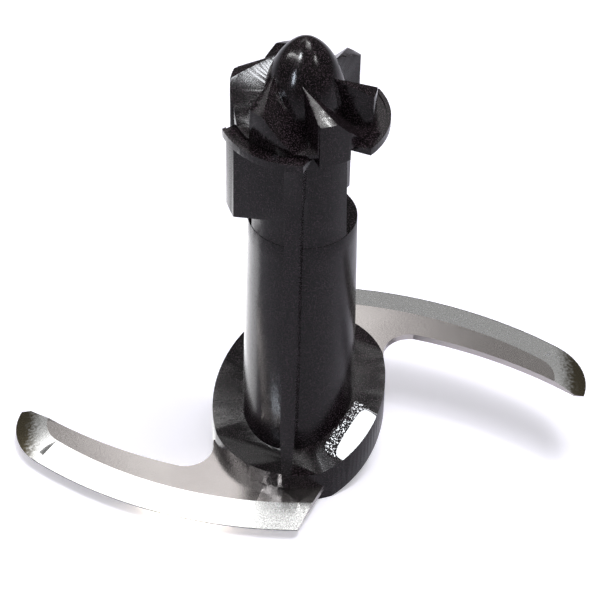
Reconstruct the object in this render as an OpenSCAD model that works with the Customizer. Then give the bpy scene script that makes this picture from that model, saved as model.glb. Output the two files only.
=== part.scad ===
// Chopping blade of a food processor: a bent steel sheet with two wings,
// moulded into a plastic hub that carries a snap-on drive cap.
// Origin: on the axis of rotation, at the surface that the hub stands on.

/* [Sheet] */
// Span over both wing tips
span = 132.7; // [128:0.1:137]
// Thickness of the steel sheet
sheet_t = 1.5; // [1:0.1:2]
// Height of the low wing's underside
wing_low_z = 2.5; // [1.5:0.1:3.5]
// Rise from the low wing to the high wing
wing_rise = 18; // [15:0.5:18.5]
// Distance from the axis to each bend line
bend_s = 12.5; // [12:0.25:13.5]
// Radius of the curved cutting edge
edge_r = 98; // [94:1:104]
// Sideways place of the cutting arc's centre
edge_x = -1.4; // [-3:0.2:1]
// Reach of the cutting edge in front of the axis
edge_reach = 31.8; // [30:0.2:34]
// Radius of the rounded wing tip
tip_r = 14.7; // [13:0.1:16]
// Sideways line at which the wing tip ends
tip_end_y = 4.6; // [3:0.2:6]
// Radius of the wing's inner edge
back_r = 103; // [98:1:110]
// Sideways place of the inner arc's centre
back_x = -0.1; // [-2:0.1:2]
// Reach of the inner edge in front of the axis
back_reach = 17.1; // [16.4:0.1:17.8]
// Radius of the fillet between the inner edge and the hub
root_r = 6.6; // [4:0.2:8]
// Reach of the root fillet from the axis
root_reach = 19.6; // [19.2:0.1:19.8]
// Slant of the wing's heel from square
heel_turn = 24.5; // [15:0.5:35]
// Sideways place of the heel's sharp corner
heel_x = 0.4; // [-2:0.2:3]
// Width of the ground bevel along the cutting edge
bevel_w = 7.3; // [5:0.1:9]

/* [Collar] */
// Radius of the collar
collar_r = 20; // [19.9:0.1:21.5]
// Height of the slanted top at the axis
collar_mid_z = 16.3; // [15.8:0.1:17.5]
// Rise of the slanted top over one millimetre
collar_slope = 0.55; // [0.5:0.01:0.6]
// Direction in which the slanted top rises
collar_turn = 63; // [58:1:68]
// Height of the low flat land
land_low_z = 8.2; // [7:0.1:9.5]
// Height of the high flat land
land_high_z = 23.7; // [23.2:0.1:25]
// Upright thickness of the slanted collar
collar_t = 9.4; // [8.6:0.1:10.4]
// Plastic left between the sheet's middle and the collar's side
ring_cover = 1.8; // [1:0.1:2.5]

/* [Shaft] */
// Radius of the shaft at its foot
shaft_foot_r = 13.2; // [12.5:0.1:13.6]
// Radius of the shaft at its shoulder
shaft_top_r = 12; // [11.6:0.1:12.4]
// Height of the shaft's shoulder
shoulder_z = 69.3; // [66:0.1:72]
// Distance from the axis to the back of the part that runs on to the flange
back_d = 5.9; // [5:0.1:7]
// Wall of the shaft
shaft_wall = 2; // [1.6:0.1:2.4]
// Radius of the neck above the shoulder
neck_r = 9.2; // [8.8:0.1:9.4]
// Height of the web that closes the hollow shaft
web_z = 60; // [50:1:64]
// Radius of the bore that runs on the bowl's pin
pin_r = 4.1; // [3:0.1:5]
// Depth of the pin bore from the sleeve's foot
pin_depth = 54; // [40:1:56]
// Wall of the sleeve round the pin bore
sleeve_wall = 1.8; // [1.4:0.1:2.4]
// Height of the sleeve's foot
sleeve_z = 2; // [1:0.5:6]
// Number of ribs that hold the sleeve
sleeve_ribs = 4; // [3:1:6]
// Thickness of each sleeve rib
rib_t = 1.4; // [1:0.1:2]

/* [Fin] */
// Direction of the long fin
fin_turn = 263.4; // [258:0.2:266]
// Thickness of the long fin
fin_t = 3.9; // [3:0.1:4.6]
// Reach of the fin under the flange
fin_top_r = 17.2; // [16:0.1:17.8]
// Reach of the fin at its foot
fin_foot_r = 20.6; // [20.2:0.1:21.5]
// Height of the fin's foot
fin_foot_z = 5; // [4.4:0.1:6]
// Thickness of the fin at its foot
fin_foot_t = 1.9; // [1:0.1:3]
// Height at which the fin starts to narrow
fin_taper_z = 20; // [12:1:30]
// Height of the small step in the fin
step_z = 83; // [80:0.5:88]
// Depth of the small step
step_t = 0.3; // [0.1:0.05:0.5]

/* [Flange] */
// Radius of the flange
flange_r = 18.2; // [17.9:0.1:19]
// Height of the flange's top face
flange_z = 96.3; // [95.6:0.1:97.2]
// Thickness of the flange
flange_t = 1.4; // [1:0.1:2]
// Depth of the straight part of a leg's notch outside the neck
notch_depth = 3.6; // [3:0.1:4.4]
// Width of the raised lip along the rim
lip_w = 0.9; // [0.5:0.1:1.4]
// Height of the raised lip
lip_h = 0.4; // [0.2:0.1:0.6]
// Distance from the axis to the skirt's flat face
skirt_d = 12.5; // [12.4:0.1:13]
// Thickness of the skirt
skirt_t = 4.6; // [4.2:0.1:5.6]
// Reach of the skirt from the fin's middle plane
skirt_len = 15.2; // [11:0.1:15.6]
// Height of the skirt's lower edge
skirt_z = 76.9; // [74:0.1:84]
// Bevel of the skirt's lower outer corner
skirt_corner = 1.8; // [0.5:0.1:2.2]

/* [Drive cap] */
// Radius of the dome's foot
dome_r = 8.8; // [8.2:0.1:9.2]
// Height of the dome's widest level over the flange
dome_lift = 3.5; // [2:0.1:5]
// Height of the dome over its widest level
dome_h = 16.2; // [13:0.1:18]
// How pointed the dome is, 1 being half an ellipsoid
dome_point = 1.25; // [1:0.05:1.5]
// Radius of the toothed crown
tooth_r = 15.1; // [14.6:0.1:15.4]
// Height of a tooth's outer end over the flange
tooth_end_h = 8.4; // [7:0.1:10]
// Height of a tooth's root at the dome over the flange
tooth_root_h = 11.5; // [10.5:0.1:13]
// Number of teeth
tooth_count = 6; // [3:3:6]
// Direction of the first tooth
tooth_turn = 294; // [290:1:298]
// Distance from a tooth's middle plane to its upright wall
tooth_half = 3.4; // [2.8:0.1:3.6]
// Distance from the middle plane to the flank's upper edge at the outer end
crest_half = 0.3; // [0:0.1:1.5]
// Distance from the middle plane to the flank's foot
flank_foot = 7.2; // [6:0.1:7.4]
// Height of the valley floors over the flange
floor_h = 0.9; // [0.6:0.1:2]
// Number of leg heads, of which all but the front one carry a leg
leg_count = 3; // [2:1:3]
// Width of a leg
leg_w = 7.1; // [6.4:0.1:7.6]
// Distance from a tooth's upright wall to the leg's side
leg_inset = 0.2; // [0.1:0.1:0.6]
// Reach of a leg's head
leg_head_r = 15.7; // [15.5:0.1:16.4]
// Height of the lower edge of the legs' heads
leg_head_z = 94.1; // [93:0.1:94.6]
// Reach of a leg under its head
leg_r = 13; // [12:0.1:14]
// Height of the legs' lower ends
leg_z = 70.4; // [70:0.1:73]
// Distance from the legs' lower ends up to the snap groove
snap_foot = 2; // [1:0.1:3]
// Depth of the snap groove in the neck
snap_t = 0.9; // [0.5:0.1:1.2]
// Height of the snap groove
snap_h = 3; // [2:0.2:4]
// Radius of the plug that centres the cap
plug_r = 6; // [5:0.1:6.6]
// Depth of the plug below the flange
plug_h = 9; // [5:0.5:16]
// Wall of the hollow plug and dome
plug_wall = 1.8; // [1.4:0.1:2.4]
// Clearance between the cap and the hub
fit = 0.2; // [0.1:0.05:0.3]

/* [Hidden] */

$fn = 96;
arc_fn = 360;
tip_fn = 96;
dome_steps = 24;
far = 80;
far_z = 160;
over = 1;
bevel_over = 0.2;

edge_c = [edge_x, edge_r - edge_reach];
tip_turn = 360 - acos((tip_r - span / 2 - edge_x) / (edge_r - tip_r));
tip_c = edge_c + (edge_r - tip_r) * [cos(tip_turn), sin(tip_turn)];
back_c = [back_x, back_r - back_reach];
root_bite = 0.05;
back_inset = 0.1;
root_cusp = 1.2;
root_x = -root_reach - root_r + root_bite;
root_span = back_r - root_r + root_bite;
root_c = [root_x, back_c[1] - sqrt(pow(root_span, 2) - pow(root_x - back_x, 2))];
root_left = back_c[0] + back_r * (root_c[0] - back_c[0]) / root_span + root_cusp;
root_low_y = -back_reach - over;
root_in = [-8, -3];
heel_c = [heel_x, -edge_reach];
heel_dir = [sin(heel_turn), cos(heel_turn)];
tip_in_x = -55;
heel_in = 18;
heel_out = 6;

wing_high_z = wing_low_z + wing_rise;
bend_shift = sheet_t * tan(atan(wing_rise / (2 * bend_s)) / 2);
ring_r = collar_r - ring_cover;
ring_hole_r = shaft_foot_r - shaft_wall / 2;

hollow_r = shaft_top_r - shaft_wall;
sleeve_r = pin_r + sleeve_wall;
land_low_s = (land_low_z - collar_mid_z) / collar_slope;
land_high_s = (land_high_z - collar_mid_z) / collar_slope;
under_low_s = (collar_t - collar_mid_z) / collar_slope;

flange_low_z = flange_z - flange_t;
fin_in_r = hollow_r + shaft_wall / 2;
skirt_over = fin_t / 5;
leg_pitch = 360 / leg_count;
tooth_pitch = 360 / tooth_count;
leg_in_r = neck_r + fit;
leg_left = leg_inset - tooth_half;
notch_gap = 2 * fit;
notch_r = neck_r + notch_depth;
notch_flare = 9;
neck_bore_r = plug_r + fit;
neck_bore_z = flange_z - plug_h - plug_wall;
snap_z = leg_z + snap_foot;
core_r = plug_r - plug_wall;
dome_z = flange_z + dome_lift;

// Places an outline drawn over (distance along the rise, height)
module across() {
    rotate([0, 0, collar_turn]) rotate([90, 0, 0]) linear_extrude(2 * far, center = true) children();
}

// Plan of a wing from its heel to its tip, left wide at the cutting edge
module wing_plan() {
    difference() {
        polygon([heel_c + heel_in * heel_dir, heel_c - heel_out * heel_dir, [-far, -far],
                 [-far, tip_end_y], [tip_in_x, tip_end_y]]);
        translate(back_c) circle(r = back_r, $fn = arc_fn);
    }
}

// Concave corner where the inner edge runs into the hub
module root_plan() {
    difference() {
        polygon([[root_left, root_low_y], [root_in[0], root_low_y], root_in, [-root_reach, root_in[1]],
                 [-root_reach, root_c[1]], [root_left, root_c[1]]]);
        translate(root_c) circle(r = root_r);
    }
}

// The sheet's plan as an upright block, ring and both wings
module blank() {
    height = wing_high_z + sheet_t + over;
    cylinder(r = ring_r, h = height);
    for (turn = [0, 180]) rotate([0, 0, turn]) {
        linear_extrude(height) wing_plan();
        linear_extrude(height) root_plan();
    }
}

// Side of the bent sheet: two flats joined by a slant
module bent_outline() {
    polygon([[-far, wing_low_z], [-bend_s, wing_low_z], [bend_s, wing_high_z], [far, wing_high_z],
             [far, wing_high_z + sheet_t], [bend_s - bend_shift, wing_high_z + sheet_t],
             [-bend_s - bend_shift, wing_low_z + sheet_t], [-far, wing_low_z + sheet_t]]);
}

// Cone whose side is the ground bevel, of radius r at z = 0
module bevel_cone(centre, r, steps) {
    slope = bevel_w / sheet_t;
    translate([centre[0], centre[1], -bevel_over])
        cylinder(r1 = r + slope * bevel_over, r2 = r - slope * (sheet_t + bevel_over),
                 h = sheet_t + 2 * bevel_over, $fn = steps);
}

// Space outside the ground edge of a wing that stands on z = 0
module edge_cutter() {
    height = sheet_t + bevel_over;
    difference() {
        translate([edge_c[0], edge_c[1], -bevel_over / 2]) cylinder(r = edge_r + far, h = height);
        bevel_cone(edge_c, edge_r, arc_fn);
    }
    difference() {
        translate([0, 0, -bevel_over / 2]) linear_extrude(height)
            polygon([edge_c, edge_c + 2 * far * [cos(tip_turn), sin(tip_turn)], [-2 * far, -far],
                     [-2 * far, edge_c[1]]]);
        bevel_cone(tip_c, tip_r, tip_fn);
    }
}

module sheet() {
    difference() {
        intersection() {
            blank();
            across() bent_outline();
        }
        translate([0, 0, wing_low_z]) edge_cutter();
        rotate([0, 0, 180]) translate([0, 0, wing_high_z]) edge_cutter();
        translate([0, 0, -over]) cylinder(r = ring_hole_r, h = wing_high_z + 2 * over + sheet_t);
    }
}

module blade() {
    color("silver") sheet();
}

// Collar: a slanted slab between two flat lands
module collar() {
    intersection() {
        cylinder(r = collar_r, h = land_high_z + over);
        across()
            polygon([[-far, 0], [under_low_s, 0], [land_high_s, land_high_z - collar_t],
                     [far, land_high_z - collar_t], [far, land_high_z], [land_high_s, land_high_z],
                     [land_low_s, land_low_z], [-far, land_low_z]]);
    }
}

// Long fin down the shaft, narrowing to its foot
module fin_side() {
    rotate([90, 0, 0]) linear_extrude(2 * fin_t, center = true)
        polygon([[fin_in_r, fin_foot_z], [fin_foot_r, fin_foot_z], [fin_top_r, flange_low_z],
                 [fin_in_r, flange_low_z]]);
}

module fin_front() {
    half = fin_t / 2;
    foot = fin_foot_t / 2;
    rotate([90, 0, 90]) linear_extrude(far)
        polygon([[-foot, 0], [foot, 0], [foot, fin_foot_z], [half - step_t, fin_taper_z],
                 [half - step_t, step_z], [half, step_z], [half, flange_z], [-half, flange_z],
                 [-half, step_z], [step_t - half, step_z], [step_t - half, fin_taper_z],
                 [-foot, fin_foot_z]]);
}

module fin() {
    rotate([0, 0, fin_turn]) intersection() {
        fin_side();
        fin_front();
    }
}

// Flat skirt under the flange, with a round outer end that keeps within the rim
module skirt() {
    height = flange_low_z - skirt_z;
    end_r = skirt_t / 2;
    cut = skirt_corner + over;
    intersection() {
        rotate([0, 0, fin_turn]) difference() {
            translate([skirt_d - skirt_t, 0, skirt_z]) {
                translate([0, end_r - skirt_len, 0]) cube([skirt_t, skirt_len - end_r + skirt_over, height]);
                translate([end_r, end_r - skirt_len, 0]) cylinder(r = end_r, h = height);
            }
            rotate([90, 0, 90]) translate([-skirt_len, skirt_z]) linear_extrude(far)
                polygon([[-over, -over], [cut, -over], [-over, cut]]);
        }
        cylinder(r = flange_r, h = flange_z);
    }
}

// Space for the leg heads, from low_z up
module notches(low_z) {
    left = leg_left - notch_gap;
    right = leg_left + leg_w + notch_gap;
    legs(0) translate([0, 0, low_z]) linear_extrude(far)
        polygon([[0, left], [notch_r, left], [notch_r + notch_flare, left - notch_flare],
                 [notch_r + notch_flare, right + notch_flare], [notch_r, right], [0, right]]);
}

// Flange with a lip, notched for the cap's leg heads
module flange() {
    difference() {
        translate([0, 0, flange_low_z]) cylinder(r = flange_r, h = flange_t + lip_h);
        translate([0, 0, flange_z]) cylinder(r = flange_r - lip_w, h = lip_h + over);
        notches(flange_low_z - over);
    }
}

// Part of the shaft round the fin that runs on past the shoulder to the flange
module upper_shaft() {
    slope = (shaft_foot_r - shaft_top_r) / shoulder_z;
    foot_r = shaft_foot_r - back_inset;
    top_z = flange_z - flange_t / 2;
    difference() {
        intersection() {
            translate([0, 0, web_z])
                cylinder(r1 = foot_r - slope * web_z, r2 = foot_r - slope * top_z, h = top_z - web_z);
            rotate([0, 0, fin_turn]) translate([back_d, -far, 0]) cube([far, 2 * far, far_z]);
        }
        notches(leg_head_z - fit);
    }
}

// Neck between the shoulder and the flange, with the groove for the legs' hooks
module neck() {
    difference() {
        translate([0, 0, web_z]) cylinder(r = neck_r, h = flange_z - web_z);
        difference() {
            translate([0, 0, snap_z]) cylinder(r = neck_r + over, h = snap_h);
            translate([0, 0, snap_z - over]) cylinder(r = neck_r - snap_t, h = snap_h + 2 * over);
        }
    }
}

// Hollow of the shaft, round the ribbed sleeve that is left standing
module hollow() {
    difference() {
        translate([0, 0, -over]) cylinder(r = hollow_r, h = web_z + over);
        translate([0, 0, sleeve_z]) {
            cylinder(r = sleeve_r, h = web_z);
            for (i = [0 : sleeve_ribs - 1]) rotate([0, 0, 360 * i / sleeve_ribs])
                translate([0, -rib_t / 2, 0]) cube([hollow_r + over, rib_t, web_z]);
        }
    }
}

module hub() {
    color([0.09, 0.09, 0.1]) difference() {
        union() {
            collar();
            cylinder(r1 = shaft_foot_r, r2 = shaft_top_r, h = shoulder_z);
            upper_shaft();
            neck();
            flange();
            skirt();
            fin();
        }
        sheet();
        hollow();
        translate([0, 0, sleeve_z - over]) cylinder(r = pin_r, h = pin_depth + over);
        translate([0, 0, neck_bore_z]) cylinder(r = neck_bore_r, h = far);
    }
}

// Round blank of the crown, its top falling from the dome to the teeth's outer ends
module crown_blank() {
    slope = (tooth_root_h - tooth_end_h) / (tooth_r - dome_r);
    end_z = flange_z + tooth_end_h;
    rotate_extrude()
        polygon([[0, leg_head_z], [leg_head_r, leg_head_z], [leg_head_r, end_z - slope * (leg_head_r - tooth_r)],
                 [0, end_z + slope * tooth_r]]);
}

// Straight bar of a leg's width
module leg_bar(reach, low_z, high_z) {
    translate([0, leg_left, low_z]) cube([reach, leg_w, high_z - low_z]);
}

// Repeats a leg round the axis from number first
module legs(first) {
    for (i = [first : leg_count - 1]) rotate([0, 0, tooth_turn + leg_pitch * i]) children();
}

// Valley from the sloping flank of one tooth to the upright wall of the next
module valley() {
    floor_z = flange_z + floor_h;
    top_z = floor_z + far * (tooth_end_h - floor_h) / (flank_foot - crest_half);
    intersection() {
        rotate([90, 0, 90]) linear_extrude(2 * far, center = true)
            polygon([[flank_foot, floor_z], [far, floor_z], [far, top_z], [flank_foot - far, top_z]]);
        rotate([0, 0, tooth_pitch]) translate([-far, -far - tooth_half, flange_z]) cube([2 * far, far, far]);
    }
}

// Crown of teeth on its floor, with the wider heads of the legs
module crown() {
    difference() {
        intersection() {
            crown_blank();
            union() {
                translate([0, 0, flange_z]) cylinder(r = tooth_r, h = far);
                legs(0) leg_bar(leg_head_r + over, leg_head_z - over, far_z);
            }
        }
        for (i = [0 : tooth_count - 1]) rotate([0, 0, tooth_turn + tooth_pitch * i]) valley();
    }
}

// Hook of a leg in the neck's groove
module hook() {
    difference() {
        leg_bar(leg_in_r + over, snap_z + fit, snap_z + snap_h - fit);
        translate([0, 0, snap_z]) cylinder(r = neck_r - snap_t + fit, h = snap_h);
    }
}

// Dome: a round foot that runs up into a pointed cap
module dome() {
    rotate_extrude()
        polygon([[0, flange_z], [dome_r, flange_z],
                 for (i = [0 : dome_steps - 1]) let (a = 90 * i / dome_steps)
                     [dome_r * pow(cos(a), dome_point), dome_z + dome_h * sin(a)],
                 [0, dome_z + dome_h]]);
}

module drive_cap() {
    color([0.07, 0.07, 0.08]) difference() {
        union() {
            difference() {
                union() {
                    crown();
                    legs(1) leg_bar(leg_r, leg_z, flange_z + floor_h / 2);
                }
                translate([0, 0, leg_z - over]) cylinder(r = leg_in_r, h = flange_z - leg_z + over);
            }
            legs(1) hook();
            dome();
            translate([0, 0, flange_z - plug_h]) cylinder(r = plug_r, h = plug_h + over);
        }
        translate([0, 0, flange_z - plug_h - over]) cylinder(r = core_r, h = plug_h + dome_lift + over);
    }
}

blade();
hub();
drive_cap();
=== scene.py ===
import math

import bmesh
import bpy
from mathutils import Matrix, Vector


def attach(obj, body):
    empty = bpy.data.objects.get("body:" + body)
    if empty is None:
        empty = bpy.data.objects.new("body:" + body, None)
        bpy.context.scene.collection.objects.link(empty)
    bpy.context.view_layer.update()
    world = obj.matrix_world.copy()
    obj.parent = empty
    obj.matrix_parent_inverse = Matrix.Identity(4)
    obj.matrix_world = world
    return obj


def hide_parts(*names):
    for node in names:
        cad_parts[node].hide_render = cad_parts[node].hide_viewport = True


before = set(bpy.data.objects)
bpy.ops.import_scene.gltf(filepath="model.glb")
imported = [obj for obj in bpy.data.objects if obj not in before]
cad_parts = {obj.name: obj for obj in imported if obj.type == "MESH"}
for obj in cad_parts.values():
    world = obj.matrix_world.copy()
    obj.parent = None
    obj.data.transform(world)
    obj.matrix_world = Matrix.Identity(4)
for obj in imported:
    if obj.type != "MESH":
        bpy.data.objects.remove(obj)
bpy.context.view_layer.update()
print("frame loaded:", sorted(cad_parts))

mm = 0.001


class Sock:
    # wraps one output socket, so that sums and products of sockets add Math nodes

    def __init__(self, maker, socket):
        self.maker, self.socket = maker, socket

    def math(self, operation, *others, clamp=False):
        settings = {"operation": operation, "use_clamp": clamp}
        return self.maker.node("ShaderNodeMath", settings, {i: v for i, v in enumerate((self, *others))})

    def __add__(self, other):
        return self.math("ADD", other)

    def __sub__(self, other):
        return self.math("SUBTRACT", other)

    def __mul__(self, other):
        return self.math("MULTIPLY", other)

    def __pow__(self, other):
        return self.math("POWER", other)

    def __radd__(self, other):
        return self.maker.value(other, "ADD", self)

    def __rsub__(self, other):
        return self.maker.value(other, "SUBTRACT", self)

    def __rmul__(self, other):
        return self.maker.value(other, "MULTIPLY", self)

    def clamp(self):
        return self.math("ADD", 0.0, clamp=True)


class Maker:
    # adds nodes to one node tree

    def __init__(self, tree):
        self.tree = tree
        tree.nodes.clear()

    def node(self, kind, settings=None, inputs=None, output=0):
        made = self.tree.nodes.new(kind)
        for name, value in (settings or {}).items():
            setattr(made, name, value)
        for key, value in (inputs or {}).items():
            self.feed(made.inputs[key], value)
        if output is None:
            return made
        return Sock(self, made.outputs[output])

    def feed(self, socket, value):
        if isinstance(value, Sock):
            self.tree.links.new(value.socket, socket)
        else:
            socket.default_value = value

    def value(self, number, operation, other):
        return self.node("ShaderNodeMath", {"operation": operation}, {0: number, 1: other})

    def point(self):
        return self.node("ShaderNodeTexCoord", output="Object")

    def axes(self, vector):
        split = self.node("ShaderNodeSeparateXYZ", inputs={0: vector}, output=None)
        return [Sock(self, split.outputs[i]) for i in range(3)]

    def scaled(self, vector, scale):
        return self.node("ShaderNodeMapping", inputs={"Vector": vector, "Scale": scale})

    def noise(self, vector, scale, detail, rough):
        return self.node("ShaderNodeTexNoise", inputs={"Vector": vector, "Scale": scale,
                                                       "Detail": detail, "Roughness": rough})

    def step(self, value, low, high):
        # 0 under low, 1 over high, smooth between them
        return self.node("ShaderNodeMapRange", {"interpolation_type": "SMOOTHSTEP"},
                         {"Value": value, "From Min": low, "From Max": high})

    def blend(self, kind, sockets, output, values):
        made = self.node("ShaderNodeMix", {"data_type": kind}, output=None)
        for socket, value in zip(sockets, values):
            self.feed(made.inputs[socket], value)
        return Sock(self, made.outputs[output])

    def mix(self, factor, a, b):
        return self.blend("RGBA", (0, 6, 7), 2, (factor, a, b))

    def mixVector(self, factor, a, b):
        return self.blend("VECTOR", (0, 4, 5), 1, (factor, a, b))

    def mixColours(self, factor, a, b):
        # a mix of two fixed colours
        return self.mix(factor, (*a, 1), (*b, 1))

    def bump(self, height, distance, under=None):
        inputs = {"Height": height, "Distance": distance}
        if under is not None:
            inputs["Normal"] = under
        return self.node("ShaderNodeBump", inputs=inputs)

    def lightPath(self):
        # camera rays, and glossy or transmission rays
        path = self.node("ShaderNodeLightPath", output=None)
        camera, glossy, passed = [Sock(self, path.outputs["Is %s Ray" % kind])
                                  for kind in ("Camera", "Glossy", "Transmission")]
        return camera, glossy.math("MAXIMUM", passed)


def newMaterial(name):
    material = bpy.data.materials.new(name)
    material.use_nodes = True
    return material, Maker(material.node_tree)


def surface(maker, **sockets):
    inputs = {name.replace("_", " "): value for name, value in sockets.items()}
    shader = maker.node("ShaderNodeBsdfPrincipled", inputs=inputs)
    maker.node("ShaderNodeOutputMaterial", inputs={0: shader}, output=None)


# plastic of the hub and the cap
plastic = {
    "dark": (0.0022, 0.0018, 0.0020), "pale": (0.0075, 0.0056, 0.0060), "purple": (0.055, 0.038, 0.048),
    "grainScale": 3600.0, "grainDepth": 0.010 * mm, "grainRange": (0.50, 0.66),
    "cloudScale": 240.0, "cloudRange": (0.35, 0.7),
    "waveScale": 90.0, "waveDepth": 0.12 * mm,
    "roughLow": 0.14, "roughHigh": 0.30, "capGloss": 0.06, "ior": 1.32,
}

# a polished patch on the collar's top: its shading leans to one fixed direction
patch = {
    "middle": (13.6 * mm, -12.3 * mm), "along": (0.575, 0.818), "top": 24 * mm,
    "halfLength": 6.0 * mm, "halfWidth": 2.9 * mm, "squareness": 4.0, "ovalRange": (0.75, 1.1),
    "speckScale": 2600.0, "speckRange": (0.50, 0.56), "speckOval": (0.8, 1.6), "speckShift": 1.0,
    "slopeFrom": (0.80, 0.84), "slopeTo": (0.90, 0.93),
    "facing": (-0.214, -0.577, 0.789), "rough": 0.07,
}


def patchMask(m, point):
    # 1 inside a long oval, where along^n + across^n is under about 1, with a speckled inner edge
    x, y, z = m.axes(point)
    dx, dy = x - patch["middle"][0], y - patch["middle"][1]
    along = (dx * patch["along"][0] + dy * patch["along"][1]) * (1 / patch["halfLength"])
    across = (dx * patch["along"][1] - dy * patch["along"][0]) * (1 / patch["halfWidth"])
    power = patch["squareness"]
    solid = 1.0 - m.step(along ** power + across ** power, *patch["ovalRange"])
    speckle = m.step(m.noise(point, patch["speckScale"], 2.0, 0.5), *patch["speckRange"])
    inner = along ** power + (across + patch["speckShift"]) ** power
    specks = (1.0 - m.step(inner, *patch["speckOval"])) * speckle
    upward = m.axes(m.node("ShaderNodeNewGeometry", output="True Normal"))[2]
    level = m.step(upward, *patch["slopeFrom"]) * (1.0 - m.step(upward, *patch["slopeTo"]))
    low = 1.0 - m.step(z, patch["top"], patch["top"] + mm)
    return solid.math("MAXIMUM", specks) * level * low


def makePlastic(name, gloss, polished=False):
    material, m = newMaterial(name)
    point = m.point()
    grain = m.noise(point, plastic["grainScale"], 2.0, 0.6)
    cloud = m.noise(point, plastic["cloudScale"], 4.0, 0.6)
    wave = m.noise(point, plastic["waveScale"], 2.0, 0.5)
    tint = m.mixColours(m.step(cloud, *plastic["cloudRange"]), plastic["dark"], plastic["pale"])
    colour = m.mix(m.step(grain, *plastic["grainRange"]), tint, (*plastic["purple"], 1))
    spread = plastic["roughHigh"] - plastic["roughLow"]
    rough = (cloud * spread + (plastic["roughLow"] - gloss)).clamp()
    height, under = grain, None
    if polished:
        mask = patchMask(m, point)
        height = grain * (1.0 - mask)
        wave = wave * (1.0 - mask)
        own = m.node("ShaderNodeNewGeometry", output="Normal")
        under = m.node("ShaderNodeVectorMath", {"operation": "NORMALIZE"},
                       {0: m.mixVector(mask, own, patch["facing"])})
        rough = rough + mask * (patch["rough"] - rough)
    normal = m.bump(wave, plastic["waveDepth"], m.bump(height, plastic["grainDepth"], under))
    surface(m, Base_Color=colour, Roughness=rough, Normal=normal, IOR=plastic["ior"])
    return material


# steel of the sheet
steel = {
    "flat": (0.58, 0.545, 0.53), "flatDark": (0.50, 0.465, 0.455), "cloudScale": 60.0, "cloudRange": (0.3, 0.7),
    # the pale bevel colour is partly the ground steel's own tone and partly painted highlight, since the bevel
    # is not wholly metal
    "bevel": (0.90, 0.90, 0.89), "bevelFrom": (0.965, 0.972), "bevelTo": (0.985, 0.995), "bevelMetal": 0.88,
    "roughFlat": 0.20, "roughBevel": 0.27, "roughGrain": 0.10,
    "grainScale": 1500.0, "grainDepth": 0.012 * mm, "brushScale": (30.0, 2200.0, 2200.0), "brushShare": 0.3,
    # tip is a painted dark reflection: the ground bevel turns dark brown near the wing tips
    "tip": (0.10, 0.085, 0.055), "tipStart": 59.5 * mm, "tipEnd": 64.0 * mm, "tipBlur": 6 * mm,
    # edge is painted shade: a thin dark line along each cutting edge
    "edge": (0.06, 0.06, 0.065), "arcMiddle": (1.4 * mm, -66.2 * mm), "arcRadius": 98.0 * mm, "line": 0.30 * mm,
}


def makeSteel(name):
    # the ground bevel is where the surface leans away from level by more than the flats
    # and less than the bend
    material, m = newMaterial(name)
    point = m.point()
    x, y = m.axes(point)[:2]
    lean = m.axes(m.node("ShaderNodeNewGeometry", output="True Normal"))[2]
    bevel = m.step(lean, *steel["bevelFrom"]) * (1.0 - m.step(lean, *steel["bevelTo"]))
    grain = m.noise(point, steel["grainScale"], 3.0, 0.6)
    cloud = m.noise(point, steel["cloudScale"], 3.0, 0.5)
    brushed = m.noise(m.scaled(point, steel["brushScale"]), 1.0, 3.0, 0.6)
    flat = m.mixColours(m.step(cloud, *steel["cloudRange"]), steel["flatDark"], steel["flat"])
    # painted dark reflection: the ground bevel darkens towards the wing tips
    reach = x.math("ABSOLUTE") + (grain - 0.5) * steel["tipBlur"]
    tip = m.step(reach, steel["tipStart"], steel["tipEnd"])
    ground = m.mixColours(tip, steel["bevel"], steel["tip"])
    # each wing's cutting edge is an arc about a middle on the other side, and a thin dark line of painted shade
    # runs along it
    side = y.math("SIGN")
    acrossX = x - side * steel["arcMiddle"][0]
    acrossY = y - side * steel["arcMiddle"][1]
    radius = (acrossX ** 2.0 + acrossY ** 2.0) ** 0.5
    edge = m.step(radius, steel["arcRadius"] - steel["line"], steel["arcRadius"] - steel["line"] / 2)
    colour = m.mix(edge, m.mix(bevel, flat, ground), (*steel["edge"], 1))
    rough = bevel * (steel["roughBevel"] - steel["roughFlat"]) + steel["roughFlat"]
    rough = rough + (grain - 0.5) * steel["roughGrain"]
    height = grain * (1 - steel["brushShare"]) + brushed * steel["brushShare"]
    # the bevel's share that is not metal lets its pale colour add a painted highlight over the steel's
    # reflections
    metal = 1.0 - bevel * (1 - steel["bevelMetal"])
    surface(m, Base_Color=colour, Roughness=rough.clamp(), Normal=m.bump(height, steel["grainDepth"]),
            Metallic=metal)
    return material


# CAD nodes carried over: the plastic ones get soft edges, the sheet keeps its own
soften = {
    "hub": {"width": 0.35 * mm, "angle": 32, "segments": 3},
    "drive_cap": {"width": 0.22 * mm, "angle": 32, "segments": 3},
    "blade": {"width": 0.0, "angle": 8, "segments": 1},
}
merge = {"gap": 0.002 * mm, "sliver": 0.004 * mm}


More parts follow.
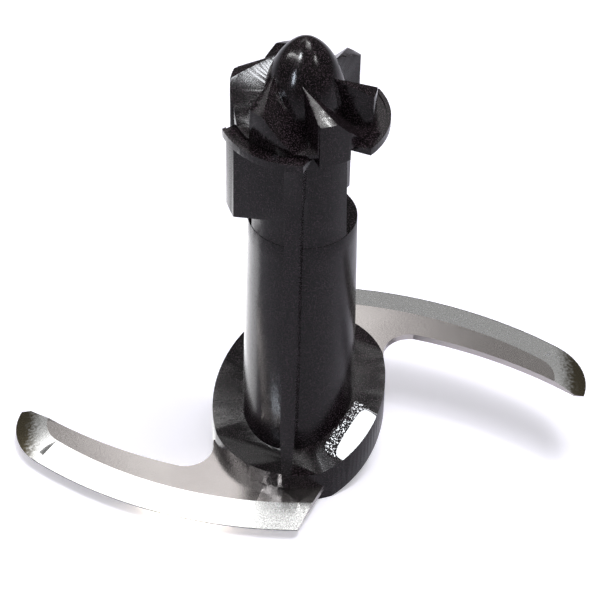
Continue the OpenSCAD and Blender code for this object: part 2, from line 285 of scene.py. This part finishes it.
def softCopy(node, name, material):
    # a merged copy of the CAD mesh, smooth between its sharp edges
    settings = soften[node]
    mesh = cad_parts[node].data.copy()
    mesh.name = name
    piece = bpy.data.objects.new(name, mesh)
    bpy.context.scene.collection.objects.link(piece)
    work = bmesh.new()
    work.from_mesh(mesh)
    bmesh.ops.remove_doubles(work, verts=work.verts, dist=merge["gap"])
    bmesh.ops.dissolve_degenerate(work, edges=work.edges, dist=merge["sliver"])
    work.to_mesh(mesh)
    work.free()
    mesh.materials.clear()
    mesh.materials.append(material)
    mesh.shade_smooth()
    mesh.set_sharp_from_angle(angle=math.radians(settings["angle"]))
    if settings["width"] > 0:
        bevel = piece.modifiers.new("softEdges", "BEVEL")
        bevel.width = settings["width"]
        bevel.segments = settings["segments"]
        bevel.limit_method = "ANGLE"
        bevel.angle_limit = math.radians(settings["angle"])
        bevel.harden_normals = True
    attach(piece, "root")
    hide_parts(node)
    print("soft copy of", node, "with", len(mesh.polygons), "faces")


softCopy("hub", "shaftHub", makePlastic("mouldedPlastic", 0.0, polished=True))
softCopy("drive_cap", "toothedCap", makePlastic("capPlastic", plastic["capGloss"]))
softCopy("blade", "steelSheet", makeSteel("groundSteel"))


# floor and world
room = {
    "floorSize": 6.0, "floorColour": (0.82, 0.81, 0.90), "glow": (0.97, 0.965, 1.0),
    "lift": 0.43, "glossLift": 0.04,
    "skyLow": 0.16, "skyHigh": 0.24, "skyTop": 0.9, "skyLight": 0.25,
}


def makeFloor():
    # a plain square that looks paler to the camera, and still takes the shadow
    half = room["floorSize"] / 2
    corners = [(-half, -half, 0), (half, -half, 0), (half, half, 0), (-half, half, 0)]
    mesh = bpy.data.meshes.new("floor")
    mesh.from_pydata(corners, [], [(0, 1, 2, 3)])
    floor = bpy.data.objects.new("floor", mesh)
    bpy.context.scene.collection.objects.link(floor)
    material, m = newMaterial("paleFloor")
    camera, mirrored = m.lightPath()
    lift = camera * room["lift"] + mirrored * room["glossLift"]
    diffuse = m.node("ShaderNodeBsdfDiffuse", inputs={"Color": (*room["floorColour"], 1)})
    glow = m.node("ShaderNodeEmission", inputs={"Color": (*room["glow"], 1), "Strength": lift})
    both = m.node("ShaderNodeAddShader", inputs={0: diffuse, 1: glow})
    m.node("ShaderNodeOutputMaterial", inputs={0: both}, output=None)
    mesh.materials.append(material)


def makeWorld():
    # white to the camera, a low grey sky in the gloss, and a plain fill light for the rest
    world = bpy.data.worlds.new("paleRoom")
    bpy.context.scene.world = world
    world.use_nodes = True
    m = Maker(world.node_tree)
    camera, glossy = m.lightPath()
    height = m.axes(m.node("ShaderNodeTexCoord", output="Generated"))[2]
    sky = m.step(height, 0.0, room["skyTop"]) * (room["skyHigh"] - room["skyLow"]) + room["skyLow"]
    strength = sky * glossy + (1.0 - glossy) * (1.0 - camera) * room["skyLight"] + camera
    back = m.node("ShaderNodeBackground", inputs={"Color": (1, 1, 1, 1), "Strength": strength})
    m.node("ShaderNodeOutputWorld", inputs={0: back}, output=None)


# the first two and the panels light the room, the ones with glossOnly only show in gloss
lamps = {
    "overhead": {"place": (0.17, 0.0, 0.90), "aim": (0, 0, 0.02), "size": (0.40, 0.40), "radiance": 8.5},
    "overheadSpot": {"place": (0.24, 0.03, 0.90), "aim": (0, 0, 0.02), "size": (0.05, 0.05), "radiance": 110.0},
    "leftGlow": {"place": (-0.066, 0.0505, 0.001), "aim": (-0.066, 0.0505, 1.0), "size": (0.115, 0.10),
                 "radiance": 2.3, "along": (1.0, -0.16, 0), "glossOnly": True},
    "shaftDash": {"place": (-0.0237, -0.0228, 0.001), "aim": (-0.0237, -0.0228, 1.0), "size": (0.013, 0.0045),
                  "radiance": 45.0, "along": (0.86, 0.5, 0), "colour": (1.0, 0.97, 0.72), "glossOnly": True},
    "frontGlint": {"place": (-0.263, -0.303, 0.60), "aim": (0.0136, -0.0123, 0.0137), "size": (0.10, 0.10),
                   "radiance": 70.0, "colour": (0.93, 0.96, 1.0), "glossOnly": True},
    "domeGlint": {"place": (-0.37, -0.444, 0.27), "aim": (0, 0, 0.11), "size": (0.05, 0.12), "radiance": 60.0,
                  "colour": (0.80, 0.88, 1.0), "glossOnly": True},
    "rimBar": {"place": (-0.376, -0.107, 0.42), "aim": (0, 0, 0.09), "size": (0.63, 0.03), "radiance": 30.0,
               "along": (0.322, -0.501, 0.207), "glossOnly": True},
    "rightWindow": {"place": (0.39, -0.242, 0.48), "aim": (0, 0, 0.10), "size": (0.04, 0.12), "radiance": 40.0,
                    "glossOnly": True},
    "bevelPanel": {"place": (-0.15, 0.31, 0.72), "aim": (-0.15, 0.31, 0.0), "size": (0.54, 0.34),
                   "radiance": 2.2},
    "flatPanel": {"place": (-0.03, 0.57, 0.55), "aim": (0, 0, 0.01), "size": (0.175, 0.30), "radiance": 1.08},
    "slantPanel": {"place": (-0.36, -0.19, 0.64), "aim": (0, 0, 0.02), "size": (0.16, 0.14), "radiance": 2.2},
}


def addLamp(name, place, aim, size, radiance, colour=(1, 1, 1), along=(1, 0, 0), glossOnly=False):
    # the lamp's long side runs along the given direction, as far as its facing allows
    lamp = bpy.data.lights.new(name, "AREA")
    lamp.shape = "RECTANGLE"
    lamp.size, lamp.size_y = size
    lamp.energy = radiance * math.pi * size[0] * size[1]
    lamp.color = colour
    holder = bpy.data.objects.new(name, lamp)
    bpy.context.scene.collection.objects.link(holder)
    holder.visible_camera = False
    holder.visible_diffuse = not glossOnly
    back = (Vector(place) - Vector(aim)).normalized()
    side = (Vector(along) - Vector(along).dot(back) * back).normalized()
    turn = Matrix((side, back.cross(side), back)).transposed().to_4x4()
    holder.matrix_world = Matrix.Translation(place) @ turn


makeFloor()
makeWorld()
for name, lamp in lamps.items():
    addLamp(name, **lamp)
print("floor, world and lamps made")


# camera
view = {"elevation": 41.6, "roll": 1.28, "distance": 538.8 * mm, "target": (-0.1 * mm, 0.0, 44.1 * mm),
        "lens": 144.0, "sensor": 36.0, "near": 0.01, "far": 50.0}


def makeCamera():
    tilt, roll = math.radians(view["elevation"]), math.radians(view["roll"])
    forward = Vector((0, math.cos(tilt), -math.sin(tilt)))
    level = Vector((1, 0, 0))
    upright = Vector((0, math.sin(tilt), math.cos(tilt)))
    right = math.cos(roll) * level + math.sin(roll) * upright
    up = math.cos(roll) * upright - math.sin(roll) * level
    data = bpy.data.cameras.new("camera")
    data.lens, data.sensor_width = view["lens"], view["sensor"]
    data.clip_start, data.clip_end = view["near"], view["far"]
    camera = bpy.data.objects.new("camera", data)
    bpy.context.scene.collection.objects.link(camera)
    turn = Matrix((right, up, -forward)).transposed().to_4x4()
    eye = Vector(view["target"]) - view["distance"] * forward
    camera.matrix_world = Matrix.Translation(eye) @ turn
    bpy.context.scene.camera = camera


makeCamera()
bpy.context.scene.view_settings.view_transform = "Standard"
print("camera made")
